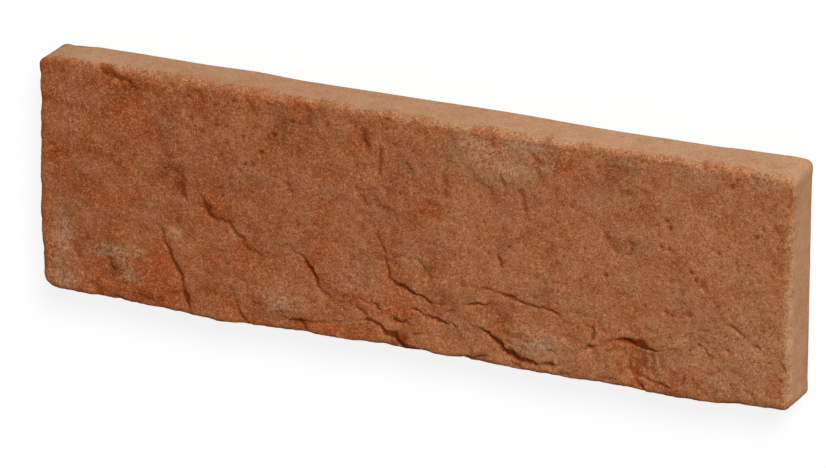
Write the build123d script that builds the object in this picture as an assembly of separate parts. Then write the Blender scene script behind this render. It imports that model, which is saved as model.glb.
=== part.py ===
"""Concrete brick veneer tile with a split-stone face.

One cast piece of dyed concrete, poured into a mould taken from a split brick.  It lies on its flat
back with the face up: X runs along the course, +Y is the edge that is uppermost on the wall, and Z
points out of the wall.  The origin is the middle of the back.  Millimetres throughout.
"""

import os
from math import exp, hypot, sin

from build123d import *

# Overall sizes of the tile: along the course, up the wall, and out of the wall to the highest place
LENGTH = 240.0
HEIGHT = 75.0
THICKNESS = 16.0

# Side walls: they lean in towards the face by the draft, and round off at the four corners
DRAFT = 0.4
TOP_CORNER_RADIUS = 3.6
FOOT_CORNER_RADIUS = 2.0

# Worn arris round the face: how far in it starts, how far it falls at the wall, and its roundness
ARRIS_WIDTH = 4.0
ARRIS_DROP = 2.4
ARRIS_POWER = 2.4

# Broad swell of the face: how far its hollows lie below its highest place, and the length of a wave
SWELL_DEPTH = 0.5
SWELL_WAVE = 24.0

# The stone that the edges and ledges below were measured on: they stretch with the tile's own sizes
STONE_LENGTH = 240.0
STONE_HEIGHT = 75.0

# How far each long edge stands out past its straight line: places along the stone, and the distance
FOOT_EDGE = [(-90, 0.2), (-60, 1.3), (-30, 0.3), (0, 0.1), (30, 0.5), (58, 0.6), (85, 1.6), (102, 0.2)]
TOP_EDGE = [(-106, 0.1), (-66, 0.6), (-6, 0.0), (35, -0.4), (73, -0.2), (99, 0.4)]

# Ledges where the stone has split.  Each is a line of places from the stone's middle, with its depth
# and the reach of the slope on its upper side and of the hollow on its lower side
LEDGES = {
    "long_split": (
        [(-75, 8), (-74.5, 1), (-67, -1), (-66, -5), (-59, -6.5), (-51.5, -14.5), (-45, -15)], 1.2, 4.0, 7.0
    ),
    "short_split": ([(-39, -11.5), (-34, -16.2), (-31.5, -20), (-27.5, -24)], 1.1, 3.5, 6.0),
    "left_crack": ([(-81, -14), (-78, -20.5), (-74.5, -27), (-73, -33), (-72, -39)], 1.2, 3.5, 5.0),
    "middle_crack": (
        [(-11, -2), (-8.5, -8), (-8, -14), (-3.5, -17.8), (4, -20.2), (11, -21.2)], 1.0, 4.0, 6.0
    ),
    "upper_crack": ([(22, -13.8), (29, -14.5), (37, -17), (44, -17.3), (49, -20)], 0.8, 3.0, 4.0),
    "scoop": ([(22, -26.5), (27, -29.2), (32, -32.6), (38, -34.5), (47, -34.6), (54, -31)], 1.5, 3.0, 6.0),
    "overhang": (
        [(54, -28.3), (61, -25), (69, -22), (73, -21.8), (78, -24), (84, -22.8)], 1.5, 3.5, 7.0
    ),
    "foot_chip": ([(-17, -28), (-11, -29.8), (-7, -33), (-3.5, -34.8), (1, -39)], 1.5, 3.0, 5.0),
    "foot_split": ([(-40, -34.5), (-35, -34), (-27, -33.2), (-21, -32.6)], 1.0, 2.5, 4.0),
}
LEDGE_LIP = 0.45
LEDGE_BLUR = 1.2

# Points that carry the face: how many each way, how far they pass the walls, and the fit
POINTS_ALONG = 82
POINTS_UP = 33
FACE_OVERHANG = 1.0
FACE_TOLERANCE = 0.02


def between(points, place):
    """Value at a place on the smooth line through (place, value) points, level past its two ends."""
    if place <= points[0][0]:
        return points[0][1]
    for (start, low), (stop, high) in zip(points, points[1:]):
        if place <= stop:
            share = (place - start) / (stop - start)
            return low + (high - low) * share * share * (3 - 2 * share)
    return points[-1][1]


def from_line(points, x, y):
    """Distance from (x, y) to a line, minus on its lower side, and the share of the line that is nearest."""
    nearest, side, place, passed = 1e9, 1.0, 0.0, 0.0
    for (x0, y0), (x1, y1) in zip(points, points[1:]):
        run, rise = x1 - x0, y1 - y0
        length = hypot(run, rise)
        share = min(1.0, max(0.0, ((x - x0) * run + (y - y0) * rise) / length**2))
        gap = hypot(x - x0 - share * run, y - y0 - share * rise)
        if gap < nearest:
            nearest, place = gap, passed + share * length
            side = 1.0 if run * (y - y0) - rise * (x - x0) >= 0 else -1.0
        passed += length
    return nearest * side, place / passed


def ledge_drop(ledge, x, y):
    """Depth of one ledge at (x, y): a slope that falls to the line, then a lip and a hollow that fades.

    It is deepest along the middle of its line, and runs out to nothing at both ends.
    """
    points, depth, reach_above, reach_below = ledge
    gap, share = from_line(points, x, y)
    above = exp(-max(gap, 0.0) / reach_above)
    below = (1 - LEDGE_LIP) * exp(min(gap, 0.0) / reach_below)
    blend = min(1.0, max(0.0, 0.5 + gap / LEDGE_BLUR))
    return depth * (1 - (2 * share - 1) ** 4) * (above * blend + below * (1 - blend))


def half_height(x, upper):
    """Distance from the middle of the face to its upper or lower edge at x."""
    edge = TOP_EDGE if upper else FOOT_EDGE
    return HEIGHT / 2 - DRAFT + between(edge, x * STONE_LENGTH / LENGTH)


def inside_edge(x, y):
    """Distance from (x, y) in to the outline of the face, with its round corners."""
    radius = TOP_CORNER_RADIUS if y > 0 else FOOT_CORNER_RADIUS
    past_x = abs(x) - (LENGTH / 2 - DRAFT - radius)
    past_y = abs(y) - (half_height(x, y > 0) - radius)
    return radius - hypot(max(past_x, 0.0), max(past_y, 0.0)) - min(max(past_x, past_y), 0.0)


def face_height(x, y):
    """Height of the face above the back at (x, y)."""
    swell = sin(x / SWELL_WAVE + 0.6) * sin(y / SWELL_WAVE - 0.4) + sin((x - 1.8 * y) / SWELL_WAVE / 2 + 1.0)
    stone_x, stone_y = x * STONE_LENGTH / LENGTH, y * STONE_HEIGHT / HEIGHT
    ledge = max(ledge_drop(ledge, stone_x, stone_y) for ledge in LEDGES.values())
    near = 1 - inside_edge(x, y) / ARRIS_WIDTH
    worn = max(0.0, near) ** ARRIS_POWER if near < 1 else 1 + ARRIS_POWER * (near - 1)
    return THICKNESS - SWELL_DEPTH * (2 - swell) / 4 - ledge - ARRIS_DROP * worn


def stations(span, count):
    """Evenly spaced places across a span and past both its ends."""
    reach = span / 2 + FACE_OVERHANG
    return [reach * (2 * place / (count - 1) - 1) for place in range(count)]


def split_face():
    """The split face as one smooth surface that overhangs the walls."""
    along, up = stations(LENGTH, POINTS_ALONG), stations(HEIGHT, POINTS_UP)
    rows = [[(x, y, face_height(x, y)) for x in along] for y in up]
    return Face.make_surface_from_array_of_points(
        rows, tol=FACE_TOLERANCE, smoothing=(1, 1, 1), min_deg=3, max_deg=5
    )


def long_edge(points, side, inset, bulge, end):
    """One long edge from end to end: a curve that stands out past its straight line by the bulge."""
    level = side * (HEIGHT / 2 - inset)
    stretch = LENGTH / STONE_LENGTH
    crests = [(x * stretch, level + side * bulge * out) for x, out in points]
    ends = [(-end, level), (end, level)]
    curve = [ends[0], *crests, ends[1]]
    return Spline(*curve, tangents=[(1, 0), (1, 0)])


def outline(inset, bulge, level):
    """Closed outline of the tile at one level: two curved long edges, two straight ends, round corners."""
    end = LENGTH / 2 - inset
    half = HEIGHT / 2 - inset
    top_end, foot_end = end - TOP_CORNER_RADIUS, end - FOOT_CORNER_RADIUS
    top_half, foot_half = half - TOP_CORNER_RADIUS, half - FOOT_CORNER_RADIUS
    with BuildSketch(Plane.XY.offset(level)) as sketch:
        with BuildLine():
            add(long_edge(TOP_EDGE, 1, inset, bulge, top_end))
            RadiusArc((top_end, half), (end, top_half), TOP_CORNER_RADIUS)
            Line((end, top_half), (end, -foot_half))
            RadiusArc((end, -foot_half), (foot_end, -half), FOOT_CORNER_RADIUS)
            add(long_edge(FOOT_EDGE, -1, inset, bulge, foot_end))
            RadiusArc((-foot_end, -half), (-end, -foot_half), FOOT_CORNER_RADIUS)
            Line((-end, -foot_half), (-end, top_half))
            RadiusArc((-end, top_half), (-top_end, half), TOP_CORNER_RADIUS)
        make_face()
    return sketch.sketch


def blank():
    """The cast block before its face is shaped: drafted walls that rise past the highest place."""
    above = THICKNESS + FACE_OVERHANG
    lean = DRAFT * above / THICKNESS
    return loft([outline(0, 0.5, 0), outline(lean, 1, above)], ruled=True)


def veneer_tile():
    """The tile: the blank, cut off at the split face."""
    under_face = extrude(split_face(), amount=2 * THICKNESS, dir=(0, 0, -1))
    return blank() & under_face


os.makedirs("parts", exist_ok=True)
tile = veneer_tile()
tile.label = "veneer_tile"
export_step(tile, "parts/veneer_tile.step")
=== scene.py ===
"""Looks of the concrete brick veneer tile: its split face, its smooth cast walls and a studio.

The tile lies on its flat back.  X runs along the course, +Y is the edge that is uppermost on the wall,
and Z points out of the wall.  Shapes are worked out in millimetres from the middle of the tile, and
are turned into metres when a mesh is filled.
"""

from collections import namedtuple
from math import pi, radians

import bpy
import numpy as np
from bpy.props import FloatProperty, FloatVectorProperty, IntProperty, PointerProperty
from mathutils import Matrix, Vector


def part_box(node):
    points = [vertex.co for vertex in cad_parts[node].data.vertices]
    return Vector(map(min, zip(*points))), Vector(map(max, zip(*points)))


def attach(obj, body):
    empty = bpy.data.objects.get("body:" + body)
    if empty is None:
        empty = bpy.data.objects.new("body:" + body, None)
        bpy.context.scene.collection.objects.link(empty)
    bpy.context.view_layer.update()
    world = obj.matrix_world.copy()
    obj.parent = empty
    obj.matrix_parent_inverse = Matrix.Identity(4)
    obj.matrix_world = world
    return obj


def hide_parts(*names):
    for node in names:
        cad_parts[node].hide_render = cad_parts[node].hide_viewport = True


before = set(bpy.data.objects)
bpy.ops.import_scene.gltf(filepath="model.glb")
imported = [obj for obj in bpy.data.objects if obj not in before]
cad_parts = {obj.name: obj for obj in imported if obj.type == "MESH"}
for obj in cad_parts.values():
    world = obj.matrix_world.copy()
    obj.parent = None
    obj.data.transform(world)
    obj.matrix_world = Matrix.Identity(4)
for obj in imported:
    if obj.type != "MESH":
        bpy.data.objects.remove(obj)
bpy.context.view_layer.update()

bl_info = {
    "name": "Brick veneer tile",
    "version": (1, 0, 0),
    "blender": (4, 5, 0),
    "location": "3D View > Sidebar > Veneer tile",
    "description": "Builds the split-face veneer tile round its CAD model, with a studio to show it in",
    "category": "Add Mesh",
}

TILE_NODE = "veneer_tile"
LOW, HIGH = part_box(TILE_NODE)
TILE_LENGTH = HIGH.x - LOW.x
TILE_THICKNESS = HIGH.z - LOW.z
MM = 0.001

# The flat map of the tile's surface, in millimetres: its side, the middles of the face and of the back,
# where the strips of the foot, right, top and left wall begin, and where those strips end under the back
MAP_SIDE = 250.0
FACE_PLACE = (125.0, 42.0)
BACK_PLACE = (125.0, 126.0)
STRIP_PLACES = [(5.0, 168.0), (5.0, 216.0), (5.0, 192.0), (90.0, 216.0)]
STRIP_ENDS = (0.8, 2.0)

# Noise: corners of its net each way, its height, and how the nets of its layers are turned
NOISE_NET = 128
NOISE_HEIGHT = 1.5
FIRST_TURN, LAYER_TURN = 0.6, 1.1

# How far each edge stands out past its straight line: places along it, and the distance
FOOT_EDGE = [
    (-112, -0.1), (-100, 0.1), (-90, 0.5), (-60, 1.8), (-45, 1.3), (-32, 0.8), (-27, 0.9), (-9, 0.6),
    (-5, 1.1), (-2.4, 1.5), (0.5, 0.8), (4, 0.7), (8, 0.8), (14, 0.9), (16.5, 0.6), (20, 1.2),
    (30, 1.4), (62, 1.0), (85, 1.95), (97, 1.3), (104, 0.85), (114, 0.4),
]
TOP_EDGE = [
    (-117, 1.1), (-103, 1.1), (-96, 0.9), (-66, 1.1), (-40, 0.7), (-6, 0.7), (35, 0.6), (60, 0.7),
    (73, 0.5), (99, 0.9), (114, 0.6),
]
TOP_BACK = [
    (-117, -0.8), (-112, -0.3), (-106, 0.1), (-88, 0.1), (-72, 0.0), (-56, 0.3), (-40, -0.2), (-6, 0.0),
    (24, 0.2), (58, -0.3), (90, -0.1), (99, 0.3), (114, 0.6),
]
LEFT_EDGE = [
    (-30, 0.1), (-26, 0.3), (-14, 0.9), (-2, 0.75), (8, 0.55), (18, 0.4), (24, 0.2), (30, 0.5),
    (36, 0.3),
]

# Chips off the arris: where they are, their half width, and how deep.  A negative one leaves it sharper
CHIPS = [
    (-111, 38, 9, -0.7), (-92, 38, 5, 1.3), (-84, 38, 5, 0.9), (-72, 38, 2, 0.9), (-64, 38, 4, 0.5),
    (-52, 38, 3, 0.8), (-40, 38, 3, 0.5), (-31, 38, 2, 0.6), (-19, 38, 2, 0.7), (-3, 38, 4, 0.4),
    (6, 38, 2, 0.6), (30, 38, 4, 0.5), (51, 38, 2, 0.6), (66, 38, 4, 0.3), (90, 38, 5, 0.4),
    (119, 37, 3, 0.7), (120, 12, 8, 0.5), (120, -8, 7, 0.4), (-120, -15.5, 1.4, 0.6),
    (-120, -28, 5, 0.5), (-55, -38, 2, 0.5), (-34, -38, 2, 0.5), (22, -38, 3, 0.4), (80, -38, 3, 0.4),
    (104, -38, 4, 0.4),
]

# The worn arris, in millimetres: how its fall grows with the way over it, how much its wear wanders and
# between what shares of the fall, how much its width follows the wear, how much narrower and lower it is in
# the shelter of the left end and the foot, how much narrower it is towards the right of the top edge, and
# what a chip adds to its width and fall
ARRIS_POWER = 2.2
WEAR_WANDER, LEAST_WEAR, MOST_WEAR = 0.7, 0.35, 2.2
WIDTH_WEAR = 0.2
SHELTERED_WIDTH, SHELTERED_FALL = 0.3, 0.4
TOP_RIGHT_WIDTH = 0.5
CHIP_WIDTH, CHIP_FALL = 1.2, 0.8

# The rings over the arris: how they crowd towards the wall, how ragged the last one is and how far a chip
# takes it in, the share of a crease's painted shade that is lost there, and the painted shade of the
# sheltered arris, which turns away from the light.  Then how far the walls wave
RING_CROWD = 1.35
RIM_RAGGED, RIM_AT_CHIP = 0.10, -0.25
CREASE_LOSS, SHELTERED_SHADE = 0.5, 0.5
WALL_WAVE = 0.07

# The pale mould skin starts at a line round the edge: how far it lies down the wall, how much it wanders,
# what else moves it down or, where it is negative, up, and over what distance it fades, in millimetres
SKIN_LINE = 0.3
SKIN_WANDER = 0.9
SKIN_AT_CHIP, SKIN_AT_SHELTER, SKIN_AT_TOP, SKIN_AT_RIGHT = -0.8, 1.2, 0.6, 0.2
SKIN_AT_RIGHT_FOOT = -1.6
SKIN_FADE = 4.5

# A split is a line where a flake of the stone has come away, as places with the strength of the split
# at each.  On the upper side of the line the face falls by the depth, down a softer slope over the reach
# above and down a cliff of this width at strength one.  On the lower side it recovers over the reach below
Split = namedtuple("Split", "line depth above below cliff")
SPLITS = {
    "long_split_head": Split([
        (-74, 9.4, 0.4), (-74.2, 6, 0.9), (-74.8, 3, 1.3), (-74.6, 0.3, 1.2),
        (-72.5, -1.8, 0.6)], 1.1, 2.6, 3.0, 2.0),
    "long_split_shelf": Split([(-73, 1.5, 0.6), (-68, 1.2, 0.4), (-64, 1.6, 0.3)], 0.6, 1.5, 2.0, 1.0),
    "long_split": Split([
        (-67.8, 0, 0.8), (-67.2, -2.2, 1.5), (-66.6, -4, 1.5), (-65.4, -5.4, 1.2), (-63.4, -5.8, 0.7),
        (-60.6, -6.3, 0.5), (-59, -6.7, 0.9), (-57.4, -8.8, 0.9), (-55.7, -10.5, 0.9),
        (-54.5, -12.6, 0.9), (-52.6, -14, 0.9), (-50.8, -15, 0.7), (-48, -15.3, 0.4),
        (-45.5, -14.9, 0.4)], 1.2, 3.0, 7.0, 2.1),
    "long_split_spur": Split([
        (-62.8, -6, 0.5), (-63.2, -8, 0.9), (-64, -9.8, 0.3)], 0.6, 1.5, 2.0, 0.9),
    "short_split": Split([
        (-40, -10.5, 0.2), (-36.5, -12.8, 0.4), (-34.8, -14.3, 0.9), (-34, -16, 1.3),
        (-32.8, -17.2, 1.1), (-32, -18.8, 1.1), (-31, -20.4, 1.2), (-30.2, -22.2, 0.6),
        (-28.6, -22.9, 0.4), (-27.4, -24.6, 0.7), (-26.5, -26, 0.3)], 1.2, 3.4, 6.0, 1.4),
    "left_crack": Split([
        (-81, -12.4, 0.6), (-79.9, -16, 0.9), (-78.2, -20, 0.9), (-76.6, -23.2, 1.1),
        (-75.2, -25.8, 1.2), (-74.4, -28, 0.8), (-74, -30.5, 0.7), (-73.6, -32.6, 1.7),
        (-72.8, -34.8, 1.4), (-72, -37.5, 0.5)], 1.2, 3.2, 5.0, 1.6),
    "left_crack_side": Split([
        (-76, -30.8, 0.5), (-74.3, -31.8, 0.9), (-73.4, -32.8, 1.0)], 0.5, 1.0, 2.0, 0.8),
    "middle_crack": Split([
        (-11.4, -1.8, 0.6), (-10.1, -4.5, 0.8), (-8.4, -8, 0.6), (-8.7, -11.3, 1.0), (-7.9, -13.5, 1.1),
        (-7.2, -15.4, 0.6), (-5.2, -17, 0.7), (-3.8, -17.8, 1.4), (-1.3, -18.7, 1.5), (1.6, -19.6, 1.2),
        (3.6, -20.2, 0.9), (5.7, -21.4, 1.0), (7.5, -21.2, 0.3), (11.2, -21, 0.4)], 1.1, 3.2, 6.0, 1.0),
    "middle_dent": Split([(2, -8, 0.6), (4, -10.8, 1.3), (5.6, -12.8, 1.0)], 0.8, 2.0, 2.5, 0.9),
    "upper_crack": Split([
        (21.5, -13.7, 0.4), (24, -13.9, 1.2), (26.5, -13.8, 0.6), (29, -14.4, 1.0), (31, -15.4, 1.2),
        (33, -15.8, 1.0), (35, -16.6, 1.2), (38, -17.3, 0.7), (40, -17.1, 0.8), (43, -17.3, 0.7),
        (45, -17.1, 0.9), (46.4, -18, 1.0), (48.2, -19, 0.3), (50, -20, 0.2)], 0.9, 2.2, 4.0, 0.8),
    "upper_crack_foot": Split([
        (16, -20.8, 0.2), (19.5, -19.4, 1.3), (22, -19.1, 1.3), (24.5, -18.6, 0.6),
        (28.5, -17.8, 0.4)], 0.9, 1.3, 2.5, 0.8),
    "lower_crack_top": Split([(-1.6, -19.8, 0.5), (-0.6, -22, 0.6), (0, -24, 0.3)], 0.6, 1.0, 2.0, 0.7),
    "lower_crack": Split([
        (-0.4, -24.3, 0.7), (1.3, -24.6, 1.4), (4, -25.6, 0.8), (6, -26.4, 1.4), (8.5, -27.1, 1.4),
        (11, -27.2, 1.1), (11.8, -27, 0.4), (13, -26.6, 0.7), (14.5, -28.6, 0.9)], 0.9, 1.6, 3.5, 0.8),
    "lower_crack_head": Split([
        (10, -23.2, 0.4), (12.5, -22.9, 1.4), (14, -22.7, 0.7)], 0.7, 1.0, 1.6, 0.8),
    "scoop": Split([
        (21.7, -26.9, 0.6), (23.5, -28.2, 1.0), (25.5, -29.6, 1.2), (27.4, -31.4, 1.5),
        (28.9, -33.2, 1.9), (30.4, -34.5, 2.4), (32.4, -35.2, 2.4), (34.4, -35.6, 1.8),
        (36.5, -35.7, 1.3), (38.5, -35.7, 1.0), (40.7, -35.6, 0.6), (42.6, -35.6, 1.0),
        (44.8, -35.3, 1.0), (46.8, -34.6, 0.6), (49, -33.6, 0.3), (52, -31.8, 0.3),
        (55, -29.6, 0.2)], 1.3, 2.0, 6.0, 1.3),
    "overhang": Split([
        (51, -29.8, 0.3), (54, -28.5, 0.4), (56.7, -27.4, 0.9), (58.2, -26.9, 0.6), (60, -25.9, 0.4),
        (62, -24.9, 0.5), (65, -23.8, 0.7), (67.4, -23.7, 1.3), (69.4, -24.1, 2.1), (71.4, -24.5, 2.4),
        (73.4, -24.8, 1.7), (75.6, -25, 1.1), (77.8, -25, 0.7), (80, -24.2, 0.3),
        (83, -23, 0.2)], 1.3, 2.0, 7.5, 1.4),
    "foot_chip_head": Split([(-17.6, -26.9, 0.8), (-15.4, -27.8, 1.2)], 0.7, 1.0, 1.5, 0.7),
    "foot_chip": Split([
        (-16.6, -30.6, 0.4), (-14.6, -30.7, 0.8), (-12, -30.7, 0.8), (-10.6, -31.8, 0.9),
        (-9.4, -33.6, 1.3), (-7.8, -34.6, 1.8), (-6, -35.4, 3.0), (-4.8, -36.4, 3.3), (-4, -38, 3.0),
        (-1, -39, 2.2), (3, -39.6, 1.2)], 1.2, 1.6, 5.0, 1.5),
    "foot_chip_side": Split([
        (-6.6, -27.8, 0.7), (-5.8, -28.8, 1.8), (-4.8, -29.4, 1.0), (-1.5, -29.5, 0.9),
        (1, -29.3, 0.3)], 0.9, 1.2, 2.5, 0.8),
    "foot_chip_top": Split([(-12, -24.4, 0.8), (-11, -25.2, 1.5), (-10, -26, 1.0)], 0.8, 1.0, 2.0, 0.9),
    "foot_chip_left": Split([(-16.6, -23.3, 0.6), (-14, -24.8, 0.8)], 0.6, 1.0, 1.5, 0.7),
    "foot_chip_under": Split([(-0.5, -32, 0.5), (1, -33, 1.1), (2.5, -32.2, 0.5)], 0.6, 1.2, 1.5, 0.9),
    "foot_split": Split([
        (-40, -34.6, 0.6), (-38.5, -34.8, 1.6), (-36.5, -34.7, 1.9), (-34.5, -34.5, 1.1),
        (-31, -34, 0.7), (-28, -33.4, 0.6), (-25, -33, 0.5), (-22, -32.2, 0.3),
        (-19.5, -31.2, 0.2)], 0.9, 1.5, 4.0, 0.8),
    "foot_split_branch": Split([
        (-35.8, -34.8, 1.2), (-34.8, -36, 1.3), (-33.6, -37.4, 0.6)], 0.7, 1.0, 2.0, 0.8),
    "foot_nick": Split([
        (-58, -28.5, 0.4), (-57, -31.5, 0.7), (-56.2, -34, 0.9), (-54.8, -36.3, 1.1),
        (-52.6, -38.4, 0.9)], 0.8, 1.6, 3.0, 0.8),
    "foot_flake": Split([
        (15.5, -38.4, 0.7), (18, -37.5, 1.4), (20.6, -37, 1.5), (23.6, -36.1, 0.9),
        (27.5, -35.6, 0.6)], 0.7, 1.3, 3.0, 0.8),
    "foot_flake_end": Split([
        (31.5, -36.4, 0.8), (33.5, -37, 1.4), (36.5, -38, 0.9)], 0.8, 1.0, 2.0, 0.8),
    "right_hollow": Split([
        (68.4, -29.5, 0.7), (69.4, -31.8, 1.2), (71, -34.6, 0.7), (73, -37, 1.2),
        (74, -38.6, 1.0)], 0.9, 1.6, 2.5, 0.9),
    "right_hollow_side": Split([
        (66.5, -31.4, 0.4), (69.5, -32.2, 0.9), (72, -33.6, 1.2), (75, -34.8, 0.8), (78.5, -35.8, 1.1),
        (81, -36.2, 1.0), (83, -36, 0.3)], 0.8, 1.5, 3.0, 0.8),
    "right_nick": Split([(86.2, -31.4, 0.6), (86, -33.2, 1.3), (85.2, -34.9, 0.8)], 0.7, 1.2, 2.0, 0.8),
    "right_plate_left": Split([
        (88.6, -30.5, 0.4), (89.6, -33.5, 0.6), (92.4, -36, 0.6),
        (94.5, -37.5, 0.3)], 0.6, 1.6, 3.0, 0.9),
    "right_plate_top": Split([
        (90.5, -28.6, 0.3), (94, -29.6, 0.8), (97, -28.2, 0.6), (99.5, -26.4, 0.4)], 0.6, 2.0, 3.0, 0.9),
    "right_plate_side": Split([
        (102.4, -26.8, 0.4), (104.4, -28.8, 0.7), (106.8, -32, 0.5),
        (108.6, -36, 0.6)], 0.6, 1.8, 3.0, 0.9),
    "right_scratch_top": Split([
        (101.3, -12.4, 1.1), (103, -13.8, 0.9), (104.8, -15.2, 0.8),
        (106.6, -16.4, 0.6)], 0.7, 1.2, 2.0, 0.8),
    "right_scratch": Split([
        (106.6, -16.6, 0.6), (108.6, -18, 1.0), (110.4, -19.2, 0.9)], 0.7, 1.0, 2.0, 0.6),
    "right_dent": Split([(91, -20.5, 0.5), (92.8, -21.8, 0.9), (94, -23.6, 1.0)], 0.6, 1.2, 2.0, 0.8),
    "side_dent": Split([
        (58, -16, 0.4), (57.8, -19, 0.7), (57.6, -22, 1.5), (57, -23.8, 0.8)], 0.8, 2.2, 2.5, 0.9),
    "centre_dent": Split([(27, 0, 0.5), (27.2, -3, 1.2), (28.6, -6.3, 0.8)], 0.8, 2.0, 2.5, 0.8),
    "top_notch": Split([
        (-102, 40.5, 2.4), (-100.4, 37.6, 2.6), (-98.8, 35.6, 2.3), (-95.5, 34.2, 1.8),
        (-91.5, 33.6, 1.2)], 1.0, 2.4, 7.0, 1.4),
    "left_hollow": Split([
        (-100, -23.8, 0.4), (-98.2, -25, 1.2), (-97, -27.5, 1.2), (-98.4, -29.2, 0.8),
        (-101.6, -31.4, 0.8), (-104, -34, 1.1)], 0.7, 1.8, 2.5, 1.1),
}

# Where the face is cut by a split: how much its strength wanders and over what wave, the width of a cliff
# with no strength, the cliff's share of the depth, the lip on the lower side, how far both sides blend,
# the groove's share of the depth and its width, and the share of the depth that grows past strength one
STRENGTH_WANDER, STRENGTH_WAVE = 0.4, 2.6
LEAST_CLIFF = 0.1
CLIFF_SHARE = 0.75
LIP = 0.35
SPLIT_BLUR = 0.5
GROOVE_SHARE, GROOVE_WIDTH = 0.15, 0.42
EXTRA_DEPTH = 0.25

# The painted shade of a crease: its width on the upper and the lower side, the shade of the faintest one,
# how soon a cliff and a pit are fully shaded, how fast a weak split fades, the most shade, and that of a
# dent
CREASE_WIDTH, LOWER_CREASE_WIDTH = 0.40, 0.24
FAINT_SHADE = 0.4
FULL_SHADE = 2.4
WEAK_POWER = 1.4
MOST_SHADE = 1.4
DENT_SHADE = 1.1

# Small dents in the face: both ends, half width and depth
Dent = namedtuple("Dent", "x0 y0 x1 y1 wide deep")
DENTS = [
    (-21.3, 36, -18.7, 31.8, 1.1, 0.5), (-15.9, 31.5, -15.1, 28, 0.8, 0.6),
    (-15.1, 28, -14, 25.6, 0.9, 0.7), (-9.8, 25.8, -10.2, 22.5, 0.7, 0.8),
    (-10.2, 22.5, -10.7, 18.2, 0.6, 0.7), (-18.8, 23, -18, 17, 1.1, 0.4),
    (-1.9, 22.6, -0.5, 20.6, 0.9, 0.6), (-0.3, 19.6, 0.6, 17.5, 0.8, 0.3), (10.2, 20, 11, 14, 1.0, 0.6),
    (21.6, 19.8, 24.8, 19, 1.0, 0.3), (24.8, 19, 26, 13.4, 1.3, 0.5), (-17.5, 11.5, -15.8, 9, 0.6, 0.5),
    (-15.8, 9, -15, 6.8, 0.6, 0.6), (-8.4, 13.5, -7.7, 10.6, 0.7, 0.6), (5.2, 11, 8, 10.4, 0.9, 0.5),
    (8, 10.4, 8.5, 6.2, 0.8, 0.4), (28.2, 23.4, 29.4, 20, 0.8, 0.5), (34.2, 19.8, 36, 14, 1.0, 0.6),
    (38, 32, 40.2, 30, 1.0, 0.6), (40, 27, 41.5, 24, 0.9, 0.3), (49.6, 35, 50.2, 31, 1.0, 0.4),
    (50.2, 31, 48, 28.4, 0.8, 0.4), (54.5, 34.8, 57, 33.8, 0.8, 0.3), (13.4, 33, 14, 31, 0.8, 0.4),
    (25.2, 36, 25.6, 33, 0.9, 0.4), (63.8, 31.5, 67, 31.4, 1.0, 0.4), (67, 31.4, 71, 30.4, 1.4, 0.4),
    (71, 30.4, 77.5, 27.4, 1.3, 0.3), (67.2, 24.4, 69, 24.2, 0.8, 0.5),
    (73, 25.4, 74.6, 23.4, 0.9, 0.4), (61, 10.2, 61.8, 8.2, 0.6, 0.5), (63.2, 6.8, 64.4, 5.2, 0.7, 0.5),
    (57, 15, 59.6, 11.4, 1.4, 0.2), (69, 8.6, 69.8, 8, 0.5, 0.6), (69.4, 6.6, 68, 4.8, 0.5, 0.7),
    (107, 36, 108, 30, 1.2, 0.3), (114.4, 28.4, 112.2, 24.6, 0.8, 0.5), (119, 33, 118, 29, 1.0, 0.6),
    (114, 21.2, 116, 17, 0.8, 0.5), (113, 12, 115.8, 8, 1.3, 0.2), (92.4, -0.4, 93.2, -2.6, 0.8, 0.5),
    (44, -7.4, 49, -8.4, 0.5, 0.3), (91.6, -15.7, 94.2, -15.5, 0.5, 0.3),
    (117, -23, 118.2, -24.4, 0.7, 0.5), (60.5, -36.7, 65, -35.8, 0.6, 0.4),
    (-78.6, 36, -76.6, 35, 0.8, 0.4), (-73.2, 36.6, -72.4, 35, 0.8, 0.5),
    (-69, 34.6, -67.4, 32.4, 1.0, 0.4), (-73, 30.6, -74.6, 28.4, 0.8, 0.4),
    (-53, 35, -50.6, 31.6, 1.2, 0.5), (-41.6, 26, -41.4, 21, 1.0, 0.4),
    (-37, 23, -35.6, 18.6, 0.9, 0.4), (-34, 36, -33.4, 30, 1.1, 0.5),
    (-40.4, 9.4, -38.8, 7.2, 0.8, 0.5), (-82.6, 22, -79.6, 12, 1.8, 0.3),
    (-83.4, 33, -82.4, 29.6, 1.0, 0.3), (-51, -31.6, -49.4, -31.4, 1.2, 0.5),
    (-108.2, -23, -107.4, -25, 1.3, 0.5), (-45, -18, -50, -29, 2.0, 0.2),
    (-95.5, -36.8, -94.5, -37, 0.8, 0.6), (-103.2, -33.4, -101, -36.2, 1.6, 0.6),
    (-91, -35, -82, -35.8, 1.2, 0.3), (47, -37, 49.6, -37.4, 0.7, 0.5), (15, -12, 17, -14, 0.9, 0.4),
    (-6.8, -7.4, -5.5, -8.4, 0.6, 0.4), (28.2, -24, 29.4, -27, 1.4, 0.5),
    (32, -27.6, 34, -27.4, 1.2, 0.4), (59.4, -18, 60.4, -21, 1.2, 0.3),
    (-30.2, 27.6, -29, 26.2, 0.7, 0.3), (-96, 36, -92, 34.8, 1.6, 0.6),
    (112, -31.6, 112.4, -33.4, 1.0, 0.4), (96, -35, 95.6, -37, 0.8, 0.4),
    (73, -26.6, 74, -31, 1.3, 0.6), (78.6, -26.6, 79.6, -29, 1.2, 0.4),
    (69.6, -26, 69, -30.4, 1.0, 0.6), (75.8, -26.6, 76.6, -29, 0.8, 0.5),
    (71.4, -29, 71, -33, 0.9, 0.6), (76, -30.5, 77.5, -33, 1.0, 0.5), (83, -31, 84, -35, 1.1, 0.4),
    (65.6, -30, 66.4, -34, 1.0, 0.4), (67.4, -26.2, 68, -27.6, 0.8, 0.5),
]

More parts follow.
